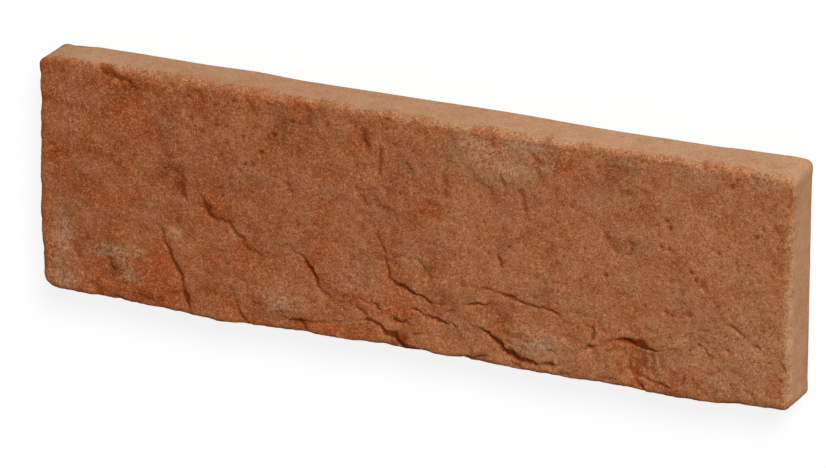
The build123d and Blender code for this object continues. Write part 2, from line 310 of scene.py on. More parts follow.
# Round pits: place, half width and depth.  Then the pores that lie by chance: how much closer together
# they are towards the right, how much of the height they cover, their half widths and their depths
Pit = namedtuple("Pit", "x y wide deep")
PITS = [
    (-71.8, 33, 0.6, 0.6), (-71, 26, 0.8, 0.4), (-63, 31.7, 0.6, 0.5), (-59, 33, 0.6, 0.45),
    (-57, 34, 0.8, 0.4), (-38.3, 30.2, 0.7, 0.7), (-44, 25, 0.8, 0.7), (-48.3, 18.7, 0.8, 0.7),
    (-54, 23, 0.6, 0.45), (-62.5, 25.5, 0.8, 0.4), (-59, 20, 0.6, 0.4), (-53.5, 14, 0.6, 0.5),
    (-55, 11.5, 0.6, 0.5), (-51, 14.3, 0.6, 0.4), (-51.5, 5, 0.5, 0.4), (-76, 8, 0.8, 0.4),
    (-93.5, 14, 0.6, 0.4), (-104, 10.5, 0.6, 0.4), (-61, 2.3, 0.6, 0.5), (-8, 36, 0.7, 0.4),
    (-8, 33, 0.6, 0.4), (-5.5, 28, 0.7, 0.4), (-27, 31, 0.6, 0.45), (-9, 7, 0.7, 0.4),
    (-3.8, 12.6, 0.5, 0.4), (80.5, 17.8, 0.7, 0.5), (81.6, 15.6, 0.7, 0.6), (77.3, 16, 0.5, 0.4),
    (78.7, 9.3, 0.6, 0.6), (81.5, 8.8, 0.5, 0.5), (88.5, 2.8, 0.7, 0.6), (90, 0.5, 0.6, 0.5),
    (97, 10.4, 0.7, 0.4), (108.5, 17, 0.6, 0.6), (110.5, 20, 0.7, 0.4), (100.5, 32, 0.8, 0.6),
    (92, 37, 1.0, 0.5), (117, 14, 0.7, 0.4), (115, 14.6, 0.7, 0.4), (61.6, -3, 0.7, 0.6),
    (55, -4.4, 0.7, 0.4), (46, -1.4, 0.5, 0.4), (88, -11, 0.9, 0.4), (81, -11.4, 0.7, 0.4),
    (82.4, -12.4, 0.6, 0.5), (71, -12.7, 0.6, 0.4), (74, -10.6, 0.6, 0.4), (91, -20.6, 0.6, 0.5),
    (30.9, 1, 0.6, 0.6), (-67, 22.5, 0.8, 0.3), (69, 19.6, 0.5, 0.4), (104.6, 21, 0.5, 0.4),
]
PORE_CROWD = 0.7
PORE_SPAN = 0.95
PORE_WIDTHS = (0.3, 0.6)
PORE_DEPTHS = (0.1, 0.4)

# Fields of chance wrinkles: left, right, low, high, flattest and steepest turn, how many, and depth
WRINKLE_FIELDS = [
    (-25, 60, -37, -20, -8, -55, 18, 0.5), (60, 112, -37, -18, -10, -60, 8, 0.45),
    (-112, -25, -36, -12, -30, -75, 12, 0.4), (-30, 60, -18, 36, -60, -100, 12, 0.3),
    (-112, -30, -10, 36, -40, -80, 8, 0.3), (60, 116, -18, 36, -50, -100, 14, 0.35),
]

# A chance wrinkle: its half length, its bend as a share of that, its share of the field's depth, and its
# reaches on both sides are drawn between these.  Its cliff and the strength at its ends are fixed
WRINKLE_HALF = (1.2, 4.2)
WRINKLE_BEND = (-0.25, 0.25)
WRINKLE_DEPTH = (0.5, 1.2)
WRINKLE_ABOVE, WRINKLE_BELOW = (0.8, 1.8), (1.2, 2.5)
WRINKLE_CLIFF = 0.7
WRINKLE_END = 0.2

# Soft hollows, and swellings where the depth is negative: middle, half sizes, turn in degrees, depth
Hollow = namedtuple("Hollow", "x y long wide turn depth")
HOLLOWS = [
    (-89, 39.0, 9.0, 2.0, 0, 1.3), (-70, 38.6, 8.0, 1.3, 0, 0.7), (-52, 37.0, 5.0, 2.2, -20, 0.5),
    (62, 9, 4.5, 2.2, -60, 0.3), (73, -29, 5.5, 4.5, 20, 0.7), (30, -22, 7.0, 3.6, 5, 0.5),
    (-98, -28, 6.0, 4.0, 40, 0.4), (-40, -29, 11.0, 5.0, 0, -0.5), (40, -27, 9.0, 4.5, -20, -0.5),
    (-60, -24, 10.0, 8.0, 30, -0.4), (5, 30, 26.0, 7.0, 3, -0.25), (95, 5, 20.0, 18.0, 0, -0.3),
    (-100, 5, 14.0, 24.0, 0, -0.3),
]

# Relief of the face by noise, in millimetres: the level that it starts from, how far it bends the lines of
# splits and dents, and the heights of the broad swell, the small swell, the flat plates and the lumps
FACE_LEVEL = -0.74
LINE_BEND = 0.60
BROAD_SWELL, SMALL_SWELL, PLATES, LUMPS = 0.50, 0.30, 0.40, 0.18

# Plates: how many steps the noise is cut into, and how much of each step is flat
PLATE_STEPS = 3
PLATE_FLAT = 0.62

# Patches of tint on the face: middle, half sizes, and how strong the tint is there.  Then how ragged
# their borders are
BLOOM_PATCHES = [
    (-113, -20, 3.2, 11.0, 0.9), (-113, -33, 6.0, 2.6, 0.9), (-97, -21.5, 8.0, 2.0, 0.8),
    (-91, -28, 3.6, 2.6, 0.8), (-76.4, -12.5, 2.2, 1.8, 0.9), (-42, -29, 7.0, 3.6, 0.6),
    (41, -29, 7.0, 4.2, 0.9), (20, 31, 7.0, 5.5, 0.7), (29, 27, 10.0, 6.0, 0.65),
    (36, 34, 8.0, 3.0, 0.9), (43, 28.5, 2.2, 2.0, 0.8), (113, 35, 5.0, 2.5, 0.6),
    (92, 34, 7.0, 2.5, 0.6), (97, -31, 3.5, 2.0, 0.7), (-80, 23, 2.5, 2.0, 0.5),
    (70, 33, 4.0, 2.5, 0.5), (-18, -20, 6.0, 3.0, 0.4), (103, -22, 14.0, 13.0, 0.2),
    (-110, 19, 3.5, 3.5, 0.4), (-110, 30, 9.0, 7.0, 0.15),
]
RED_PATCHES = [
    (-93, 31, 7.0, 4.0, 0.5), (-93, 26, 6.0, 5.0, 0.6), (-83, 22, 4.0, 5.0, 0.6),
    (-102, -28, 5.0, 5.0, 0.9), (-82, -26, 5.0, 8.0, 0.9), (-86, -34, 10.0, 2.5, 1.0),
    (-64, -2, 4.5, 3.5, 0.9), (-53, -11, 4.5, 4.0, 0.8), (-33, -14.5, 3.5, 1.6, 1.0),
    (-58, -33, 5.0, 4.0, 0.8), (-50, -30, 3.0, 4.0, 0.7), (-17, -23.6, 7.0, 2.2, 0.9),
    (-20, -34, 9.0, 2.4, 0.9), (-6, -26.5, 6.0, 2.4, 0.8), (32, -14.4, 2.4, 1.2, 0.9),
    (30, -27, 6.0, 2.0, 0.9), (60, -20.5, 5.0, 2.6, 0.8), (66, -24, 5.0, 2.0, 0.6),
    (7, 9, 5.0, 3.0, 0.7), (35, 5, 8.0, 2.2, 0.6), (-42, -12, 5.0, 2.5, 0.5), (40, 31, 4.0, 2.0, 0.6),
    (48, 29, 4.0, 2.0, 0.4), (78, -36.5, 12.0, 1.6, 0.5), (117, 31, 2.0, 3.0, 0.4),
    (-18, 22, 4.0, 5.0, 0.5), (5, -12, 3.0, 3.0, 0.5),
]
# Dark patches: partly brown mottling, and partly painted shade on the slopes of the splits and hollows,
# such as at the top notch, under the overhang and in the wedges of the scoop and the foot chip
DARK_AND_SHADE_PATCHES = [
    (-98, 36.5, 2.6, 2.6, 1.0), (-94, 33.5, 3.6, 2.0, 0.5), (-68, 34, 5.0, 3.0, 0.5),
    (-75, 4, 1.6, 4.5, 0.6), (-64.5, -2.5, 2.6, 2.4, 0.9), (28, -22, 5.0, 4.0, 0.7),
    (63, 8, 2.6, 3.6, 0.4), (74, -29.5, 5.5, 6.0, 0.6), (-52, 34, 3.0, 2.0, 0.5),
    (25, 17, 2.0, 3.5, 0.5), (11, 17, 1.8, 3.0, 0.5), (-16, 28, 2.0, 3.0, 0.4),
    (108, 32, 4.0, 3.0, 0.4), (-96, -27, 3.0, 3.0, 0.5), (-36, -34.5, 3.5, 1.2, 0.8),
    (69, -22.8, 3.0, 1.4, 0.6), (-42, 26, 5.0, 6.0, 0.4), (-4, -35.5, 3.0, 1.4, 0.7),
    (33, -33, 3.5, 1.2, 0.5), (-94, 30, 5.0, 6.0, 0.6), (-100, 10, 12.0, 10.0, 0.3),
    (66, 29, 9.0, 4.0, 0.5), (80, -37, 24.0, 4.0, 0.3), (-100, -37, 16.0, 3.0, 0.5),
    (-78, 14, 5.0, 12.0, 0.4), (92, -20, 5.0, 8.0, 0.3),
]
RAGGED = 1.6

# How strongly the uneven sand changes the red, green and blue of the concrete.  It follows the sand's
# bump, so it is partly the sand's own tone and partly painted shade in the bump's hollows and painted light
# on its rises.  It changes blue most, so that dark places are richer
GRIT_AND_SHADE_SHARES = (0.42, 0.68, 1.05)

# Sockets of Blender's Mix node that hold its two colours, and the one that gives the mixed colour
MIX_INPUTS = (6, 7)
MIX_OUTPUT = 2

# Towards the key light, and how wide it is.  Then the floor's half size, its white for the lamps and, less
# because it glows, for the camera, and its glow near the tile
KEY_DIRECTION = (0.40, 0.66, 0.64)
KEY_ANGLE = radians(22)
FLOOR_HALF = 20.0
FLOOR_WHITE, FLOOR_SEEN = (0.82,) * 3, (0.15,) * 3
FLOOR_GLOW = 0.85


def eased(share):
    """The curve 3t² - 2t³ of a share t."""
    return share * share * (3 - 2 * share)


def between(points, places):
    """Values at places on the smooth line through (place, value) points.

    Between two points the value follows the eased share of the way, and it is level past the ends.
    """
    stops, values = np.array(points, float).T
    here = np.clip(np.searchsorted(stops, places) - 1, 0, len(stops) - 2)
    share = np.clip((places - stops[here]) / (stops[here + 1] - stops[here]), 0, 1)
    return values[here] + (values[here + 1] - values[here]) * eased(share)


def smooth_noise(x, y, wave, seed):
    """Random hills and hollows, about -1 to 1 high and one wave across.

    Each corner of a square net has a random slope.  The height in a square is the blend of its four
    corners' slopes, by the curve 6t⁵ - 15t⁴ + 10t³ each way.
    """
    turn = np.random.default_rng(seed).uniform(0, 2 * pi, (NOISE_NET, NOISE_NET))
    u, v = x / wave, y / wave
    column, row = np.floor(u).astype(int), np.floor(v).astype(int)
    s, t = u - column, v - row
    blend_s, blend_t = (c * c * c * (c * (6 * c - 15) + 10) for c in (s, t))

    def corner(right, up):
        angle = turn[(column + right) % NOISE_NET, (row + up) % NOISE_NET]
        return np.cos(angle) * (s - right) + np.sin(angle) * (t - up)

    low = corner(0, 0) * (1 - blend_s) + corner(1, 0) * blend_s
    high = corner(0, 1) * (1 - blend_s) + corner(1, 1) * blend_s
    return NOISE_HEIGHT * (low * (1 - blend_t) + high * blend_t)


def turned(x, y, turn):
    """Places along and across a direction, which is turned this far from the first one."""
    return x * np.cos(turn) + y * np.sin(turn), y * np.cos(turn) - x * np.sin(turn)


def rough_noise(x, y, wave, layers, seed, fade=0.5):
    """Smooth noise with finer layers on it.

    Each layer has half the wave of the last and fade of its height, and its net is turned further.
    """
    height = np.zeros(np.broadcast(x, y).shape)
    for layer in range(layers):
        along, across = turned(x, y, FIRST_TURN + LAYER_TURN * layer)
        height += fade**layer * smooth_noise(along, across, wave / 2**layer, seed + layer)
    return height


def from_line(line, x, y):
    """Distance of each place to a line, minus on its lower side, and the line's strength nearest to it."""
    nearest, strength, side = np.full(x.shape, np.inf), np.zeros(x.shape), np.ones(x.shape)
    for (x0, y0, strong), (x1, y1, next_strong) in zip(line, line[1:]):
        run, rise = x1 - x0, y1 - y0
        share = np.clip(((x - x0) * run + (y - y0) * rise) / (run**2 + rise**2), 0, 1)
        gap = np.hypot(x - x0 - share * run, y - y0 - share * rise)
        nearer = gap < nearest
        nearest = np.where(nearer, gap, nearest)
        strength = np.where(nearer, strong + (next_strong - strong) * share, strength)
        side = np.where(nearer, np.where(run * (y - y0) - rise * (x - x0) >= 0, 1.0, -1.0), side)
    return nearest * side, strength


def wrinkles():
    """Short, shallow splits scattered by chance: steep ones up the face, and flatter ones near the foot."""
    chance = np.random.default_rng(7)
    found = []
    for x0, x1, y0, y1, flat, steep, count, depth in WRINKLE_FIELDS:
        for _ in range(count):
            x, y = chance.uniform(x0, x1), chance.uniform(y0, y1)
            turn, half = radians(chance.uniform(steep, flat)), chance.uniform(*WRINKLE_HALF)
            bend = chance.uniform(*WRINKLE_BEND) * half
            run, rise = half * np.cos(turn), half * np.sin(turn)
            middle = (x - bend * np.sin(turn), y + bend * np.cos(turn), 1.0)
            line = [(x - run, y - rise, WRINKLE_END), middle, (x + run, y + rise, WRINKLE_END)]
            deep = depth * chance.uniform(*WRINKLE_DEPTH)
            above, below = chance.uniform(*WRINKLE_ABOVE), chance.uniform(*WRINKLE_BELOW)
            found.append(Split(line, deep, above, below, WRINKLE_CLIFF))
    return found


def from_faint(value):
    """A shade that is faint where the value is 0 and full where it is 1."""
    return FAINT_SHADE + (1 - FAINT_SHADE) * value


def split_drop(split, x, y):
    """How far the face lies lower for one split, and the painted shade of its crease.

    The strength along the line wanders by noise.  Above the line the drop is a mix of the cliff, one less
    the distance over its width, and of the slope, e to the minus distance over its reach.  Below the
    line it starts less by the lip, which a strong split has less of, and fades over its own reach.  Both
    are blended at the line, where a narrow bell adds the groove.  All of it is times the depth, which
    grows with the strength, and more slowly past strength one.

    The crease's painted shade is the darker of a bell along the line and of the cliff itself.
    """
    distance, strength = from_line(split.line, x, y)
    strength = strength * (1 + STRENGTH_WANDER * smooth_noise(x, y, STRENGTH_WAVE, seed=25))
    up = np.maximum(distance, 0)
    cliff = np.clip(1 - up / (split.cliff * strength + LEAST_CLIFF), 0, 1)
    above = CLIFF_SHARE * cliff + (1 - CLIFF_SHARE) * np.exp(-up / split.above)
    below = (1 - LIP / np.maximum(strength, 1)) * np.exp(np.minimum(distance, 0) / split.below)
    blend = np.clip(0.5 + distance / SPLIT_BLUR, 0, 1)
    groove = GROOVE_SHARE * np.exp(-((distance / GROOVE_WIDTH) ** 2))
    depth = split.depth * np.minimum(strength, 1 - EXTRA_DEPTH + EXTRA_DEPTH * strength)
    drop = depth * (above * blend + below * (1 - blend) + groove)
    # Painted shade: a dark bell along the line, and a dark zone over the cliff above it
    steep = min(1, split.depth / split.cliff)
    width = np.where(distance > 0, CREASE_WIDTH, LOWER_CREASE_WIDTH)
    line = from_faint(steep) * np.exp(-((distance / width) ** 2))
    zone = steep * np.minimum(FULL_SHADE * cliff, 1) * (distance > 0)
    shade = np.maximum(line, zone) * np.minimum(strength, 1) ** WEAK_POWER
    return drop, shade * np.clip(from_faint(strength), 1, MOST_SHADE) * min(1, from_faint(split.depth))


def dent_drop(dent, x, y):
    """Depth of one dent, a bell across the line between its ends, and its painted shade."""
    distance, _ = from_line([(dent.x0, dent.y0, 1), (dent.x1, dent.y1, 1)], x, y)
    bell = np.exp(-((distance / dent.wide) ** 2))
    return dent.deep * bell, min(1, DENT_SHADE * dent.deep) * bell


def hollow_drop(hollow, x, y):
    """A soft bell-shaped hollow, longer one way than the other."""
    along, across = turned(x - hollow.x, y - hollow.y, radians(hollow.turn))
    return hollow.depth * np.exp(-((along / hollow.long) ** 2) - (across / hollow.wide) ** 2)


def pit_drop(x, y, sizes):
    """Round pits and pores: those seen on the stone, and more by chance, closer together at the right."""
    chance = np.random.default_rng(11)
    half_length, half_height = sizes.length / MM / 2, sizes.height / MM / 2
    along = half_length * (2 * chance.random(sizes.pits) ** PORE_CROWD - 1)
    up = half_height * chance.uniform(-PORE_SPAN, PORE_SPAN, sizes.pits)
    wide, deep = chance.uniform(*PORE_WIDTHS, sizes.pits), chance.uniform(*PORE_DEPTHS, sizes.pits)
    drop = np.zeros(x.shape)
    for pit in [*(Pit(*row) for row in PITS), *map(Pit, along, up, wide, deep)]:
        near = (np.abs(x - pit.x) < 3 * pit.wide) & (np.abs(y - pit.y) < 3 * pit.wide)
        square = ((x[near] - pit.x) ** 2 + (y[near] - pit.y) ** 2) / pit.wide**2
        drop[near] = np.maximum(drop[near], pit.deep * np.exp(-square))
    return drop


def tint_field(patches, x, y):
    """Strength of one tint: soft bell-shaped patches with ragged borders, between 0 and 1."""
    ragged_x = x + RAGGED * rough_noise(x, y, wave=5.0, layers=3, seed=71)
    ragged_y = y + RAGGED * rough_noise(x, y, wave=5.0, layers=3, seed=81)
    tint = np.zeros(x.shape)
    for middle_x, middle_y, wide, high, strength in patches:
        square = ((ragged_x - middle_x) / wide) ** 2 + ((ragged_y - middle_y) / high) ** 2
        tint = np.maximum(tint, strength * np.exp(-square))
    return tint


def flaked(x, y, wave, seed):
    """Noise cut into flat steps with soft risers, as stone that has come away in thin plates.

    The height of each step is the whole part of the noise, counted in steps.  The riser is the eased
    share by which the rest has passed the flat of the step.
    """
    levels = PLATE_STEPS * rough_noise(x, y, wave, layers=3, seed=seed, fade=0.45)
    whole = np.floor(levels)
    share = np.clip((levels - whole - PLATE_FLAT) / (1 - PLATE_FLAT), 0, 1)
    return (whole + eased(share)) / PLATE_STEPS


def face_relief(x, y, sizes):
    """Height of the split face from its highest level, and the painted shade of each place in its creases.

    The height is the level with the noise of swell, plates and lumps, less the hollows, splits, dents and
    pits.  Where two splits or two dents meet, the deeper one counts.  The stone is more even towards its
    right end, and its plates are thinner towards its top.
    """
    bend_x = x + LINE_BEND * rough_noise(x, y, wave=3.4, layers=4, seed=21, fade=0.6)
    bend_y = y + LINE_BEND * rough_noise(x, y, wave=3.4, layers=4, seed=31, fade=0.6)
    splits, dents, creases = (np.zeros(x.shape) for _ in range(3))

    def carve(drops, ends, reach, drop_of, cut):
        """Lowers the places within reach of one cut, where it is deeper or its painted shade darker than
        the rest.
        """
        near = inside_box(np.array(ends), reach, x, y)
        drop, crease = drop_of(cut, bend_x[near], bend_y[near])
        drops[near] = np.maximum(drops[near], drop)
        creases[near] = np.maximum(creases[near], crease)

    for split in [*SPLITS.values(), *wrinkles()]:
        reach = 3 * max(split.above, split.below) + 3
        carve(splits, [place[:2] for place in split.line], reach, split_drop, split)
    for dent in (Dent(*row) for row in DENTS):
        carve(dents, [(dent.x0, dent.y0), (dent.x1, dent.y1)], 3 * dent.wide, dent_drop, dent)
    pits = pit_drop(x, y, sizes)
    # The pits get painted shade as well
    creases = np.maximum(creases, np.minimum(FULL_SHADE * pits, 1))
    hollows = sum(hollow_drop(Hollow(*row), x, y) for row in HOLLOWS)
    uneven = np.clip(1.1 - x / 160, 0.5, 1)
    thick = np.clip(0.55 - y / 60, 0.25, 1.0)
    swell = BROAD_SWELL * rough_noise(x, y, wave=38.0, layers=2, seed=41)
    swell += SMALL_SWELL * uneven * rough_noise(x, y, wave=12.0, layers=2, seed=51)
    plates = PLATES * thick * uneven * flaked(bend_x, bend_y, wave=17.0, seed=111)
    lumps = LUMPS * rough_noise(x, y, wave=5.0, layers=4, seed=121, fade=0.55)
    return FACE_LEVEL + swell + plates + lumps - hollows - splits - dents - pits, creases


def inside_box(line, reach, x, y):
    """Which places lie in the box round a line of points, out to a reach."""
    low, high = line.min(0) - reach, line.max(0) + reach
    return (x > low[0]) & (x < high[0]) & (y > low[1]) & (y < high[1])


def spread(count, low, high, crowd=0.0):
    """Places from low to high, the more crowded towards low the larger the crowd is."""
    share = np.linspace(0, 1, count)
    return low + (high - low) * share * (1 - crowd + crowd * share)


def plane_grid(columns, rows):
    """Plane places of a grid, row by row."""
    return np.stack(np.meshgrid(columns, rows), -1).reshape(-1, 2)


def corner_reach(angle, margin, radius):
    """Distance from the inner corner of a square to its outline with one rounded corner.

    The angle runs from 0 to a right angle.  Up to where the round begins the distance is margin over the
    larger of cosine and sine, and from there it is the far root where the ray meets the circle.
    """
    across, up = np.cos(angle), np.sin(angle)
    inset = margin - radius
    straight = margin / np.maximum(across, up)
    half = inset * (across + up)
    curved = half + np.sqrt(np.maximum(half**2 - 2 * inset**2 + radius**2, 0))
    return np.where(straight * np.minimum(across, up) < inset, straight, curved)


def chip_depth(place):
    """Depth of the chips at places on the rim: a bell for each, added up."""
    x, y, wide, deep = np.array(CHIPS).T
    square = (place[:, :1] - x) ** 2 + (place[:, 1:] - y) ** 2
    return (deep * np.exp(-square / wide**2)).sum(1)


class TileShape:
    """Every vertex of the tile, as rows of rings round a grid.

    The middle of the face is a grid.  Rings round it run out over the worn arris, down the walls to
    the floor and a little way in under the back, where a coarse grid closes the tile.  At each corner
    of the grid the rings fan out round the corner radius.
    """

    def __init__(self, sizes):
        self.sizes = sizes
        self.top, self.margin = TILE_THICKNESS / MM, sizes.margin / MM
        self.draft, self.foot = sizes.draft / MM, sizes.foot_radius / MM
        inner_x, inner_y = sizes.length / MM / 2 - self.margin, sizes.height / MM / 2 - self.margin
        self.columns = spread(sizes.columns, -inner_x, inner_x)
        self.rows = spread(sizes.rows, -inner_y, inner_y, crowd=0.3)
        self.points, self.deep, self.skin = [], [], []
        self.make_rim()

    def make_rim(self):
        """For each place round the rings: the grid vertex it leaves from, its way out, and its reach."""
        sizes = self.sizes
        across, up, fan = sizes.columns, sizes.rows, sizes.corner_steps
        index = np.arange(across * up).reshape(up, across)
        sides = [index[0], index[:, -1], index[-1, ::-1], index[::-1, 0]]
        turn = pi / 2 * np.arange(1, fan) / fan
        starts, angles, corners, back_corners = [], [], [], []
        for quarter, side in enumerate(sides):
            facing = pi / 2 * (quarter - 1)
            starts += [side, np.full(fan - 1, side[-1])]
            angles += [np.full(len(side), facing), facing + turn]
            for reaches, radii in ((corners, sizes.corner_radii), (back_corners, sizes.back_radii)):
                round_corner = corner_reach(turn, self.margin, radii[quarter] / MM)
                reaches += [np.full(len(side), self.margin), round_corner]
        self.start, angle = np.concatenate(starts), np.concatenate(angles)
        self.out = np.stack([np.cos(angle), np.sin(angle)], -1)
        self.from_point = plane_grid(self.columns, self.rows)[self.start]
        steps = np.hypot(*np.diff(np.vstack([self.from_point, self.from_point[:1]]), axis=0).T)
        self.fan_step = self.margin * pi / 2 / fan
        self.along = np.concatenate([[0], np.cumsum(np.where(steps < 1e-6, self.fan_step, steps))[:-1]])
        x, y = self.from_point.T
        self.right, self.upper = np.maximum(self.out, 0).T
        left, lower = np.maximum(-self.out, 0).T
        waves = lower * between(FOOT_EDGE, x) + left * between(LEFT_EDGE, y)
        self.reach = np.concatenate(corners) + waves + self.upper * between(TOP_EDGE, x)
        self.back_reach = np.concatenate(back_corners) + waves + self.upper * between(TOP_BACK, x)
        self.shelter = np.maximum(left, lower)

    def rim_noise(self, wave, layers, seed, fade=0.5):
        """Rough noise along the way round the rim."""
        return rough_noise(self.along, 0 * self.along, wave, layers, seed, fade)

    def ring(self, distance):
        """Plane places of the ring that lies this far out from the grid."""
        return self.from_point + self.out * np.broadcast_to(distance, self.start.shape)[:, None]

    def keep(self, place, height, deep=0.0, skin=1.0):
        """Adds a row of vertices."""
        count = len(place)
        self.points.append(np.column_stack([place, np.broadcast_to(height, count)]))
        self.deep.append(np.broadcast_to(deep, count))
        self.skin.append(np.broadcast_to(skin, count))

    def build(self):
        """All vertices, from the face over the arris and down the walls to the back."""
        place = plane_grid(self.columns, self.rows)
        level, creases = face_relief(*place.T, self.sizes)
        self.keep(place, self.top + level, creases, 0.0)
        self.round_arris()
        self.drop_walls()
        back_x = spread(self.sizes.back_columns, self.columns[0], self.columns[-1])
        back_y = spread(self.sizes.back_rows, self.rows[0], self.rows[-1])
        self.back_lines = back_x, back_y
        self.keep(plane_grid(back_x, back_y), 0.0)
        return np.vstack(self.points), np.concatenate(self.deep), np.concatenate(self.skin)

    def round_arris(self):
        """Rings from the grid to the wall, closer together towards it.

        The face falls by a power of the way over the arris, times a fall that wanders round the rim as the
        width does.  Each ring is a share of the way out to the wall, which is ragged by noise and chips.
        The skin grows as the way out passes its own line, and stays out of the creases.  Along the top edge
        the arris narrows from left to right over the middle 100 mm, and at the right end the skin starts
        higher the nearer it is to the foot.
        """
        sizes = self.sizes
        x, y = self.from_point.T
        wear = 1 + WEAR_WANDER * self.rim_noise(wave=9.0, layers=4, seed=91, fade=0.6)
        chips = chip_depth(self.ring(self.reach))
        top_right = self.upper * np.clip(0.5 + x / 100, 0, 1)
        width = sizes.arris_width / MM - SHELTERED_WIDTH * self.shelter - TOP_RIGHT_WIDTH * top_right
        width = width * (1 - WIDTH_WEAR + WIDTH_WEAR * wear) + CHIP_WIDTH * chips
        fall = sizes.arris_drop / MM - SHELTERED_FALL * self.shelter
        fall = fall * np.clip(wear, LEAST_WEAR, MOST_WEAR) + CHIP_FALL * chips
        right_foot = self.right * np.clip(0.6 - y / 30, 0, 1)
        self.skin_line = SKIN_LINE + SKIN_WANDER * self.rim_noise(wave=14.0, layers=4, seed=97, fade=0.7)
        self.skin_line += SKIN_AT_CHIP * chips + SKIN_AT_SHELTER * self.shelter + SKIN_AT_TOP * self.upper
        self.skin_line += SKIN_AT_RIGHT * self.right + SKIN_AT_RIGHT_FOOT * right_foot
        self.ragged = RIM_RAGGED * self.rim_noise(wave=4.5, layers=2, seed=95) + RIM_AT_CHIP * chips
        edge = self.reach - self.draft
        for step in 1 - (1 - np.linspace(0, 1, sizes.arris_rings + 1)[1:]) ** RING_CROWD:
            place = self.ring((edge + self.ragged * step) * step)
            level, creases = face_relief(*place.T, sizes)
            inside = edge * (1 - step)
            near = np.clip(1 - inside / width, 0, 1)
            skin = self.skin_at(-inside) * (1 - np.clip(creases, 0, 1))
            # Painted shade of the creases, less near the wall, and painted shade on the sheltered arris
            deep = creases * (1 - CREASE_LOSS * near) + SHELTERED_SHADE * self.shelter * near**3
            self.keep(place, self.top + level - fall * near**ARRIS_POWER, deep, skin)

    def skin_at(self, down):
        """How much of the skin is there, this far down the wall, or minus this far in from it."""
        return np.clip(0.5 + (down - self.skin_line) / SKIN_FADE, 0, 1)

    def drop_walls(self):
        """Rings from the arris down the drafted walls, and round the back edge a little way under."""
        arris = self.points[-1][:, 2]
        for share in np.linspace(0, 1, self.sizes.wall_rings + 1)[1:]:
            height = arris + (self.foot - arris) * share
            wave = WALL_WAVE * rough_noise(self.along, height * 1.3, wave=8.0, layers=3, seed=99)
            front = self.reach - self.draft + self.ragged * (1 - share) ** 3
            out = front + (self.back_reach - front) * share + wave
            self.keep(self.ring(out), height, 0.0, self.skin_at(arris - height))
        self.keep(self.ring(self.back_reach - 0.3 * self.foot), 0.3 * self.foot)
        self.keep(self.ring(self.back_reach - self.foot), 0.0)

    def faces(self):
        """All faces: the grid, the fans and quads of the rings, the seam under the back and its grid."""
        sizes = self.sizes
        grid_count, ring_count = sizes.columns * sizes.rows, len(self.start)
        ring_total = sizes.arris_rings + sizes.wall_rings + 2
        grid = grid_quads(sizes.columns, sizes.rows, 0, True)
        first = grid_count + np.arange(ring_count)
        after = np.roll(first, -1)
        start, next_start = self.start, np.roll(self.start, -1)
        fans = start == next_start
        fan = np.column_stack([start, first, after])[fans]
        border = np.column_stack([start, first, after, next_start])[~fans]
        rings = []
        for ring in range(ring_total - 1):
            near, far = first + ring * ring_count, after + ring * ring_count
            rings.append(np.column_stack([near, near + ring_count, far + ring_count, far]))
        seam, back = self.back_faces(grid_count + (ring_total - 1) * ring_count, ring_count)
        return [grid, border, *rings, back], [fan, seam]

    def unwrap(self, points, quads, triangles):
        """Places on the map for every corner of every face, in millimetres.

        The face with its arris and the back lie flat.  Each wall with the corner after it is a strip, as
        long as its side and as high as the way down it.
        """
        steps = np.append(np.diff(self.along), self.fan_step)
        counts = [self.sizes.columns, self.sizes.rows, self.sizes.columns, self.sizes.rows]
        side = np.repeat(np.arange(4), np.array(counts) + self.sizes.corner_steps - 1)
        first = np.searchsorted(side, np.arange(4))
        run = self.along - self.along[first][side]
        run_u, run_v = np.array(STRIP_PLACES)[side].T
        down = np.linspace(0, self.top, self.sizes.wall_rings + 1)
        down = np.append(down, self.top + np.array(STRIP_ENDS))
        arris_faces = 1 + self.sizes.arris_rings
        maps = [flat_places(points, faces, FACE_PLACE, 1) for faces in quads[:arris_faces]]
        for upper, lower in zip(down, down[1:]):
            left, right = run_u + run, run_u + run + steps
            corners = [(left, upper), (left, lower), (right, lower), (right, upper)]
            maps.append(np.stack([np.column_stack([u, run_v + v]) for u, v in corners], 1))
        maps.append(flat_places(points, quads[-1], BACK_PLACE, -1))
        fan, seam = triangles
        maps += [flat_places(points, fan, FACE_PLACE, 1), flat_places(points, seam, BACK_PLACE, -1)]
        return np.vstack([places.reshape(-1, 2) for places in maps])

    def back_faces(self, last_ring, ring_count):
        """Triangles from the last ring to the rim of the coarse grid under the back, and that grid.

        Both rims are walked together.  Each step of one rim makes a triangle with the vertex that the
        other rim has reached by the middle of that step.
        """
        back_x, back_y = self.back_lines
        across, up = len(back_x), len(back_y)
        first = last_ring + ring_count
        index = first + np.arange(across * up).reshape(up, across)
        rim = np.concatenate([index[0, :-1], index[:-1, -1], index[-1, :0:-1], index[:0:-1, 0]])
        x, y = back_x - back_x[0], back_y - back_y[0]
        length, height = x[-1], y[-1]
        whole = 2 * (length + height)
        rim_at = np.concatenate([x[:-1], length + y[:-1], whole - height - x[:0:-1], whole - y[:0:-1]])
        outer_at = self.rim_place(length, height)
        outer_middle, inner_middle = ((at + np.append(at[1:], whole)) / 2 for at in (outer_at, rim_at))
        outer = last_ring + np.arange(ring_count)
        reached = np.searchsorted(inner_middle, outer_middle) % len(rim)
        outer_triangles = np.column_stack([outer, rim[reached], np.roll(outer, -1)])
        met = np.searchsorted(outer_middle, inner_middle) % ring_count
        inner_triangles = np.column_stack([rim, np.roll(rim, -1), outer[met]])
        return np.vstack([outer_triangles, inner_triangles]), grid_quads(across, up, first, False)

